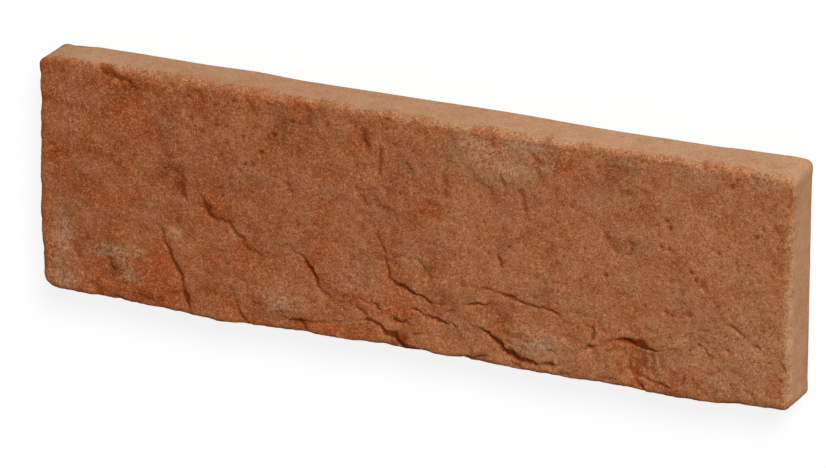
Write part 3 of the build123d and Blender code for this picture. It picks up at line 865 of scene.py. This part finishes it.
    def rim_place(self, length, height):
        """How far each ring place lies round the inner rectangle, counted from its first corner."""
        x, y = (self.from_point - (self.columns[0], self.rows[0])).T
        counts = np.array([self.sizes.columns, self.sizes.rows] * 2) + self.sizes.corner_steps - 1
        side = np.repeat(np.arange(4), counts)
        whole = 2 * (length + height)
        return np.choose(side, [x, length + y, whole - height - x, whole - y])


def flat_places(points, faces, middle, facing):
    """Map places of faces that lie flat round a middle, mirrored where they face the other way."""
    return points[faces][..., :2] * (facing, 1) + middle


def grid_quads(across, up, first, upward):
    """Quads of a grid of vertices, row by row, facing up or down."""
    index = first + np.arange(across * up).reshape(up, across)
    corners = [index[:-1, :-1], index[:-1, 1:], index[1:, 1:], index[1:, :-1]]
    if not upward:
        corners = corners[::-1]
    return np.stack([c.ravel() for c in corners], -1)


def fill_mesh(name, points, quads, triangles, places):
    """A mesh from arrays of millimetre points, quads and triangles, with the map place of every corner."""
    quads, triangles = np.vstack(quads), np.vstack(triangles)
    mesh = bpy.data.meshes.new(name)
    mesh.vertices.add(len(points))
    mesh.vertices.foreach_set("co", (points * MM).astype(np.float32).ravel())
    loops = np.concatenate([quads.ravel(), triangles.ravel()])
    starts = np.concatenate([4 * np.arange(len(quads)), 4 * len(quads) + 3 * np.arange(len(triangles))])
    mesh.loops.add(len(loops))
    mesh.loops.foreach_set("vertex_index", loops.astype(np.int32))
    mesh.polygons.add(len(starts))
    mesh.polygons.foreach_set("loop_start", starts.astype(np.int32))
    mesh.update(calc_edges=True)
    layer = mesh.uv_layers.new(name="OFBake")
    layer.uv.foreach_set("vector", (places / MAP_SIDE).astype(np.float32).ravel())
    mesh.polygons.foreach_set("use_smooth", np.ones(len(starts), bool))
    mesh.validate()
    return mesh


def add_attribute(mesh, name, values):
    """Stores one number a vertex, for the material to read."""
    layer = mesh.attributes.new(name, "FLOAT", "POINT")
    layer.data.foreach_set("value", values.astype(np.float32))


def display_colour(red, green, blue):
    """A colour as a screen shows it, 0 to 255 each, turned into the linear values that shaders take."""
    shares = np.array([red, green, blue]) / 255
    return tuple(np.where(shares <= 0.04045, shares / 12.92, ((shares + 0.055) / 1.055) ** 2.4))


class Nodes:
    """The node tree of a material or a world, with one short call for each kind of node that they use."""

    def __init__(self, owner):
        owner.use_nodes = True
        self.tree = owner.node_tree
        self.tree.nodes.clear()

    def add(self, kind, inputs=None, **settings):
        """A new node.  Each input, by name or number, is linked to an output or set to a plain value."""
        node = self.tree.nodes.new(kind)
        for key, value in settings.items():
            setattr(node, key, value)
        for key, value in (inputs or {}).items():
            if isinstance(value, bpy.types.NodeSocket):
                self.tree.links.new(value, node.inputs[key])
            else:
                node.inputs[key].default_value = value
        return node

    def noise(self, place, wave, detail=2.0, roughness=0.5, seed=0.0):
        """Noise about one wave across, in metres, from 0 to 1."""
        inputs = {"Vector": place, "Scale": 1 / wave, "Detail": detail, "Roughness": roughness, "W": seed}
        return self.add("ShaderNodeTexNoise", inputs, noise_dimensions="4D").outputs["Fac"]

    def cells(self, place, size):
        """Grains of one size, in metres: a random number for each, and the distance to its middle."""
        node = self.add("ShaderNodeTexVoronoi", {"Vector": place, "Scale": 1 / size}, feature="F1")
        number = self.add("ShaderNodeSeparateColor", {"Color": node.outputs["Color"]}).outputs[0]
        return number, node.outputs["Distance"]

    def ramp(self, value, low, high, start=0.0, stop=1.0):
        """A value between low and high, smoothed onto start to stop."""
        inputs = {"Value": value, "From Min": low, "From Max": high, "To Min": start, "To Max": stop}
        return self.add("ShaderNodeMapRange", inputs, interpolation_type="SMOOTHSTEP").outputs["Result"]

    def math(self, operation, *values):
        """One sum of up to three values."""
        return self.add("ShaderNodeMath", dict(enumerate(values)), operation=operation).outputs["Value"]

    def total(self, value, *parts):
        """A value plus some shares of other values, as (other value, share) each."""
        for other, share in parts:
            value = self.math("MULTIPLY_ADD", other, share, value)
        return value

    def mix(self, factor, *colours, blend="MIX"):
        """Two colours mixed by a factor."""
        whole = [c if isinstance(c, bpy.types.NodeSocket) else (*c, 1) for c in colours]
        inputs = {"Factor": factor, **dict(zip(MIX_INPUTS, whole))}
        return self.add("ShaderNodeMix", inputs, data_type="RGBA", blend_type=blend).outputs[MIX_OUTPUT]

    def layers(self, colour, rows):
        """Tints laid over a colour, one after the other.

        Each row says what a tint follows, at what value it begins and is full, how strong it is there, and
        its own colour.
        """
        for value, begin, full, strength, tint in rows:
            colour = self.mix(self.ramp(value, begin, full, 0.0, strength), colour, tint)
        return colour


def pore_shade_dots(nodes, place, along):
    """Painted shade of pores that the mesh lacks: a dot in the middle of some cells, more towards the
    right.
    """
    lot, distance = nodes.cells(place, size=0.0020)
    share = nodes.math("SUBTRACT", nodes.ramp(along, -0.06, 0.10, 0.16, 0.38), lot)
    return nodes.math("MULTIPLY", nodes.ramp(distance, 0.26, 0.08), nodes.ramp(share, 0.0, 0.12, 0.0, 0.8))


def concrete_material(colours):
    """Dyed concrete: mottled red-brown sand on the split face, and pale smooth mould skin on the walls.

    The face goes from pale clay to red by broad noise and the red patches, and browner by the mottling
    and the dark patches, which are partly painted shade.  Bloom, painted shade in pores, single grains of
    sand and the painted shade of the creases lie over it.  The walls have their own tints.  Last, the sand
    makes all of it unevenly bright, partly as painted shade and light that follow its bump.
    """
    material = bpy.data.materials.new("dyed_concrete")
    nodes = Nodes(material)
    place = nodes.add("ShaderNodeTexCoord").outputs["Object"]
    along = nodes.add("ShaderNodeSeparateXYZ", {"Vector": place}).outputs["X"]
    deep, skin_share, bloom, red, dark = (
        nodes.add("ShaderNodeAttribute", attribute_name=name).outputs["Fac"]
        for name in ("deep", "skin", "bloom", "red", "dark")
    )
    broad = nodes.noise(place, wave=0.022, detail=3.0, roughness=0.55, seed=1.0)
    ruddy = nodes.noise(place, wave=0.0085, detail=4.0, roughness=0.68, seed=2.0)
    mottle = nodes.noise(place, wave=0.0070, detail=5.0, roughness=0.72, seed=3.0)
    crumbs = nodes.noise(place, wave=0.0013, detail=3.0, roughness=0.7, seed=4.0)
    wall = nodes.noise(place, wave=0.0035, detail=5.0, roughness=0.7, seed=5.0)
    grain, _ = nodes.cells(place, size=0.00032)
    leftward = nodes.ramp(along, -0.13, 0.13, 0.06, -0.10)

    redness = nodes.total(leftward, (ruddy, 0.8), (broad, 0.2), (red, 0.2), (skin_share, -0.8))
    clay = nodes.mix(nodes.ramp(redness, 0.31, 0.76), colours.clay_pale, colours.red)
    # The dark patches are partly painted shade at the splits and hollows
    brownest = nodes.total(nodes.ramp(along, -0.03, 0.10, 0.78, 0.55), (dark, 0.4))
    brown = nodes.math("MULTIPLY", nodes.ramp(nodes.total(mottle, (dark, 0.22)), 0.44, 0.80), brownest)
    clay = nodes.mix(brown, clay, colours.clay_dark)
    dusty = nodes.ramp(nodes.total(crumbs, (grain, 0.22)), 0.46, 0.76, 0.2, 0.9)
    clay = nodes.mix(nodes.math("MULTIPLY", bloom, dusty), clay, colours.bloom)
    # Painted shade in small pores
    clay = nodes.mix(pore_shade_dots(nodes, place, along), clay, colours.painted_shade)
    clay = nodes.layers(clay, [
        (grain, 0.62, 0.98, 0.37, colours.grain_pale),
        (grain, 0.34, 0.02, 0.48, colours.grain_dark_and_deep_shade),
        # Painted shade of the creases, pits and sheltered arris, and a darker painted shadow in the deepest
        # wedges
        (deep, 0.0, 1.1, 0.92, colours.painted_shade),
        (deep, 1.0, 1.7, 0.25, colours.grain_dark_and_deep_shade),
    ])
    pale = nodes.ramp(nodes.math("SUBTRACT", broad, leftward), 0.3, 0.7)
    skin = nodes.layers(nodes.mix(pale, colours.skin, colours.skin_pale), [
        (grain, 0.40, 0.02, 0.36, colours.clay_dark),
        (grain, 0.70, 0.98, 0.40, colours.grain_pale),
        (mottle, 0.45, 0.75, 0.60, colours.clay_pale),
        (wall, 0.50, 0.78, 0.40, colours.red),
        (along, 0.117, 0.120, 0.10, colours.red),
    ])
    worn = skin_share
    ragged_by = [(crumbs, 0.32, 0.68, 0.09), (mottle, 0.30, 0.70, -0.14), (grain, 0.0, 1.0, 0.18)]
    for value, low, high, most in ragged_by:
        worn = nodes.math("ADD", worn, nodes.ramp(value, low, high, -most, most))
    skinned = nodes.ramp(worn, 0.06, 0.82)
    bare = nodes.total(1.0, (skinned, -0.65))
    # Partly the sand's own tone, and partly painted shade in the bump's hollows and painted light on its
    # rises
    uneven = nodes.math("MULTIPLY", bare, nodes.ramp(crumbs, 0.28, 0.72, -0.22, 0.22))
    bright = nodes.ramp(along, -0.13, 0.12, 0.93, 1.05)
    shares = {index: nodes.total(bright, (uneven, share)) for index, share in enumerate(GRIT_AND_SHADE_SHARES)}
    shade = nodes.add("ShaderNodeCombineColor", shares).outputs["Color"]
    colour = nodes.mix(1.0, nodes.mix(skinned, clay, skin), shade, blend="MULTIPLY")

    height = nodes.math("MULTIPLY", nodes.total(crumbs, (grain, 0.4)), bare)
    bump = nodes.add("ShaderNodeBump", {"Height": height, "Strength": 0.45, "Distance": 0.00035})
    surface = nodes.add("ShaderNodeBsdfPrincipled", {
        "Base Color": colour,
        "Specular IOR Level": 0.04,
        "Roughness": nodes.ramp(crumbs, 0.3, 0.7, 0.86, 0.97),
        "Normal": bump.outputs["Normal"],
    })
    nodes.add("ShaderNodeOutputMaterial", {"Surface": surface.outputs["BSDF"]})
    return material


def floor_material():
    """A white floor that runs out to pure white for the camera, and keeps the tile's shadow close to it."""
    material = bpy.data.materials.new("studio_floor")
    nodes = Nodes(material)
    place = nodes.add("ShaderNodeTexCoord").outputs["Object"]
    distance = nodes.add("ShaderNodeVectorMath", {0: place}, operation="LENGTH").outputs["Value"]
    far = nodes.ramp(distance, 0.18, 0.5)
    camera = nodes.add("ShaderNodeLightPath").outputs["Is Camera Ray"]
    diffuse = nodes.add("ShaderNodeBsdfDiffuse", {"Color": nodes.mix(camera, FLOOR_WHITE, FLOOR_SEEN)})
    strength = nodes.math("MULTIPLY", camera, nodes.ramp(far, 0.0, 1.0, FLOOR_GLOW, 1.0))
    glow = nodes.add("ShaderNodeEmission", {"Strength": strength})
    both = nodes.add("ShaderNodeAddShader", {0: diffuse.outputs["BSDF"], 1: glow.outputs["Emission"]})
    nodes.add("ShaderNodeOutputMaterial", {"Surface": both.outputs["Shader"]})
    return material


def white_sky(strength):
    """A world that lights the tile evenly, and that the camera sees as pure white."""
    world = bpy.data.worlds.new("sky")
    nodes = Nodes(world)
    camera = nodes.add("ShaderNodeLightPath").outputs["Is Camera Ray"]
    seen = nodes.add("ShaderNodeMapRange", {"Value": camera, "To Min": strength, "To Max": 1.0})
    inputs = {"Color": (1, 1, 1, 1), "Strength": seen.outputs["Result"]}
    background = nodes.add("ShaderNodeBackground", inputs)
    nodes.add("ShaderNodeOutputWorld", {"Surface": background.outputs["Background"]})
    return world


def length_property(name, description, default):
    """A length setting, in metres."""
    return FloatProperty(name=name, description=description, default=default, unit="LENGTH")


def corners_property(name, description, default):
    """A setting with one length for each corner of the tile, in metres."""
    return FloatVectorProperty(name=name, description=description, size=4, default=default, unit="LENGTH")


def angle_property(name, description, degrees):
    """An angle setting whose default is given in degrees."""
    return FloatProperty(name=name, description=description, default=radians(degrees), subtype="ANGLE")


def count_property(name, description, default):
    """A setting that is a whole number."""
    return IntProperty(name=name, description=description, default=default)


def colour_property(name, description, red, green, blue):
    """A colour setting whose default is given as a screen shows it."""
    return FloatVectorProperty(
        name=name, description=description, subtype="COLOR", size=3, min=0, max=1,
        default=display_colour(red, green, blue),
    )


class TileSizes(bpy.types.PropertyGroup):
    """Sizes of the tile that its looks are built from."""

    length: length_property("Length", "Along the course", TILE_LENGTH)
    height: length_property("Height", "Up the wall, between the straight lines of the long edges", 0.075)
    corner_radii: corners_property(
        "Corner radii", "Right foot, right top, left top, left foot", (0.0032, 0.0028, 0.0028, 0.0050)
    )
    back_radii: corners_property(
        "Back radii", "The same four corners at the back", (0.0018, 0.0022, 0.0036, 0.0050)
    )
    margin: length_property("Margin", "From the walls in to the grid of the face", 0.0052)
    draft: length_property("Draft", "How far the walls lean in from back to face", 0.0004)
    arris_width: length_property("Arris width", "How far in the worn arris starts", 0.0020)
    arris_drop: length_property("Arris drop", "How far the face falls at the walls", 0.0012)
    foot_radius: length_property("Back edge", "Rounding where the walls meet the back", 0.0004)
    pits: count_property("Pits", "Number of small pits in the face", 520)
    columns: count_property("Columns", "Vertices along the face", 476)
    rows: count_property("Rows", "Vertices up the face", 134)
    corner_steps: count_property("Corner steps", "Steps round each corner", 12)
    arris_rings: count_property("Arris rings", "Rings over the arris", 13)
    wall_rings: count_property("Wall rings", "Rings down the walls", 9)
    back_columns: count_property("Back columns", "Vertices along the back", 61)
    back_rows: count_property("Back rows", "Vertices up the back", 19)


class TileColours(bpy.types.PropertyGroup):
    """Tints of the dyed concrete, and the colours of its painted shade."""

    clay_pale: colour_property("Pale clay", "Paler stretches of the face", 156, 101, 64)
    red: colour_property("Iron red", "Redder stretches of the face", 151, 73, 31)
    clay_dark: colour_property("Dark clay", "Brown mottling of the face", 108, 49, 13)
    bloom: colour_property("Bloom", "Grey lime bloom on the face", 174, 137, 109)
    # The colour of the painted shade in the creases, pits and pores and on the sheltered arris
    painted_shade: colour_property("Crevice", "Bottom of the splits", 118, 46, 4)
    grain_pale: colour_property("Pale grain", "Pale grains of sand", 196, 143, 106)
    # Also the darker painted shadow in the deepest wedges of the splits
    grain_dark_and_deep_shade: colour_property("Dark grain", "Dark grains of sand", 86, 28, 4)
    skin: colour_property("Mould skin", "Smooth skin of the walls", 160, 119, 88)
    skin_pale: colour_property("Pale skin", "Paler stretches of the walls", 170, 134, 102)


class StudioSettings(bpy.types.PropertyGroup):
    """The camera's place, for a tile that stands upright on its foot edge, and the lamps."""

    turn: angle_property("Turn", "How far the camera stands round to the right", 21.564)
    tilt: angle_property("Tilt", "How far it looks down", -23.911)
    roll: angle_property("Roll", "How far it leans to its side", -0.241)
    distance: length_property("Distance", "From the face to the camera", 2.897)
    aim_along: length_property("Aim along", "Where it looks, along the tile", 0.00075)
    aim_up: length_property("Aim up", "Where it looks, up the tile", 0.0007)
    lens: FloatProperty(name="Lens", description="Focal length for a sensor 36 mm wide", default=425.8)
    key: FloatProperty(name="Key light", description="Strength of the key light", default=3.6)
    sky: FloatProperty(name="Sky light", description="Strength of the even light", default=0.25)


class VENEER_OT_cast_tile(bpy.types.Operator):
    """Builds the tile's mesh round its CAD model and gives it the dyed concrete"""

    bl_idname = "veneer.cast_tile"
    bl_label = "Cast the tile"

    def execute(self, context):
        shape = TileShape(context.scene.tile_sizes)
        points, deep, skin = shape.build()
        quads, triangles = shape.faces()
        places = shape.unwrap(points, quads, triangles)
        mesh = fill_mesh("brick_tile", points, quads, triangles, places)
        # deep is the painted shade of the creases, pits and sheltered arris; the dark patches are partly
        # painted shade
        add_attribute(mesh, "deep", deep)
        add_attribute(mesh, "skin", skin)
        for name, patches in (("bloom", BLOOM_PATCHES), ("red", RED_PATCHES), ("dark", DARK_AND_SHADE_PATCHES)):
            add_attribute(mesh, name, tint_field(patches, *points[:, :2].T))
        tile = bpy.data.objects.new("brick_tile", mesh)
        context.scene.collection.objects.link(tile)
        mesh.materials.append(concrete_material(context.scene.tile_colours))
        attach(tile, "root")
        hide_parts(TILE_NODE)
        return {"FINISHED"}


class VENEER_OT_set_studio(bpy.types.Operator):
    """Lays the white floor, hangs the lamps and sets up the camera"""

    bl_idname = "veneer.set_studio"
    bl_label = "Set up the studio"

    def execute(self, context):
        settings = context.scene.studio_settings
        self.lay_floor(context)
        self.hang_lamps(context, settings)
        self.place_camera(context, settings)
        context.scene.view_settings.view_transform = "Standard"
        return {"FINISHED"}

    def lay_floor(self, context):
        mesh = bpy.data.meshes.new("floor")
        corners = [(-1, -1), (1, -1), (1, 1), (-1, 1)]
        mesh.from_pydata([(FLOOR_HALF * x, FLOOR_HALF * y, 0) for x, y in corners], [], [(0, 1, 2, 3)])
        floor = bpy.data.objects.new("floor", mesh)
        context.scene.collection.objects.link(floor)
        mesh.materials.append(floor_material())

    def hang_lamps(self, context, settings):
        lamp = bpy.data.lights.new("key", "SUN")
        lamp.energy = settings.key
        lamp.angle = KEY_ANGLE
        key = bpy.data.objects.new("key", lamp)
        key.rotation_mode = "QUATERNION"
        key.rotation_quaternion = Vector(KEY_DIRECTION).to_track_quat("Z", "Y")
        context.scene.collection.objects.link(key)
        context.scene.world = white_sky(settings.sky)

    def place_camera(self, context, settings):
        """The camera of a tile stood on its foot edge, laid back with the tile onto the floor."""
        upright = Matrix.Rotation(settings.turn, 3, "Z") @ Matrix.Rotation(settings.tilt, 3, "X")
        laid = Matrix.Rotation(radians(-90), 3, "X") @ (upright @ Matrix.Rotation(settings.roll, 3, "Y"))
        right, forward, up = laid.col
        data = bpy.data.cameras.new("camera")
        data.sensor_width = 36
        data.lens = settings.lens
        data.clip_end = 50
        camera = bpy.data.objects.new("camera", data)
        camera.rotation_mode = "QUATERNION"
        camera.rotation_quaternion = Matrix((right, up, -forward)).transposed().to_quaternion()
        aim = Vector((settings.aim_along, settings.aim_up, TILE_THICKNESS))
        camera.location = aim - forward * settings.distance
        context.scene.collection.objects.link(camera)
        context.scene.camera = camera


class VENEER_PT_panel(bpy.types.Panel):
    """Sizes, colours and studio of the veneer tile"""

    bl_label = "Veneer tile"
    bl_idname = "VENEER_PT_panel"
    bl_space_type = "VIEW_3D"
    bl_region_type = "UI"
    bl_category = "Veneer tile"

    def draw(self, context):
        scene = context.scene
        groups = {"Sizes": scene.tile_sizes, "Colours": scene.tile_colours, "Studio": scene.studio_settings}
        for title, group in groups.items():
            box = self.layout.box()
            box.label(text=title)
            for setting in group.bl_rna.properties.keys():
                if setting not in ("rna_type", "name"):
                    box.prop(group, setting)
        for operator in (VENEER_OT_cast_tile, VENEER_OT_set_studio):
            self.layout.operator(operator.bl_idname)


CLASSES = (
    TileSizes, TileColours, StudioSettings, VENEER_OT_cast_tile, VENEER_OT_set_studio, VENEER_PT_panel,
)


def register():
    for cls in CLASSES:
        bpy.utils.register_class(cls)
    bpy.types.Scene.tile_sizes = PointerProperty(type=TileSizes)
    bpy.types.Scene.tile_colours = PointerProperty(type=TileColours)
    bpy.types.Scene.studio_settings = PointerProperty(type=StudioSettings)


def unregister():
    del bpy.types.Scene.studio_settings
    del bpy.types.Scene.tile_colours
    del bpy.types.Scene.tile_sizes
    for cls in reversed(CLASSES):
        bpy.utils.unregister_class(cls)


def main():
    register()
    bpy.ops.veneer.cast_tile()
    bpy.ops.veneer.set_studio()


if __name__ == "__main__":
    main()
